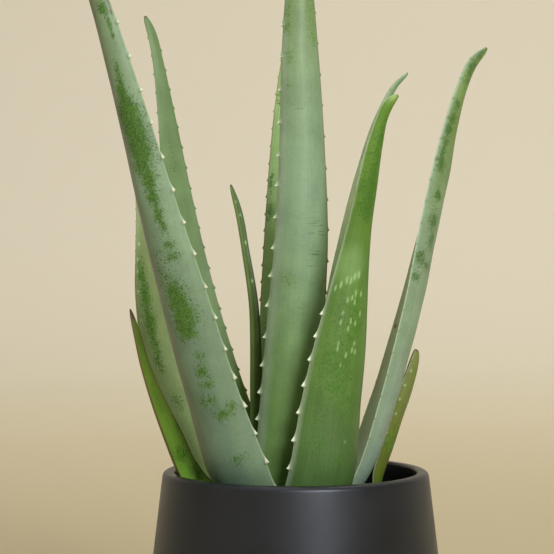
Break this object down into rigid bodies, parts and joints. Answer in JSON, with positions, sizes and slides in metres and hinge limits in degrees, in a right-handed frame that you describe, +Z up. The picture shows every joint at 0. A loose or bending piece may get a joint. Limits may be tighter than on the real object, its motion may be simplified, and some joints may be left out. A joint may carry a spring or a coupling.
{
  "type": "potted aloe plant",
  "caption": "Aloe with long pointed leaves, toothed along their margins, rising from a short stem in a round dark pot that widens downwards.",
  "frame": {"origin": "middle of the pot's flat underside", "axes": "+Z up; -Y is the front, the side that the picture was taken from; +X to its right"},
  "size_m": [0.2454, 0.1766, 0.482],
  "materials": {
    "leaf_young": "satin",
    "leaf_centre": "satin",
    "leaf_behind_centre": "satin",
    "leaf_front_right": "satin",
    "leaf_behind_right": "satin",
    "leaf_front_left": "satin",
    "leaf_side_left": "satin",
    "leaf_back_left": "satin",
    "leaf_right": "satin",
    "leaf_low_left": "satin",
    "leaf_low_right": "satin",
    "pot": "satin",
    "soil": "matte",
    "crown": "matte"
  },
  "bodies": {
    "root": {"leaf_young": "leaf_young", "leaf_centre": "leaf_centre", "leaf_behind_centre": "leaf_behind_centre", "leaf_front_right": "leaf_front_right", "leaf_behind_right": "leaf_behind_right", "leaf_front_left": "leaf_front_left", "leaf_side_left": "leaf_side_left", "leaf_back_left": "leaf_back_left", "leaf_right": "leaf_right", "leaf_low_left": "leaf_low_left", "leaf_low_right": "leaf_low_right", "pot": "pot", "soil": "soil", "crown": "crown"}
  },
  "joints": []
}
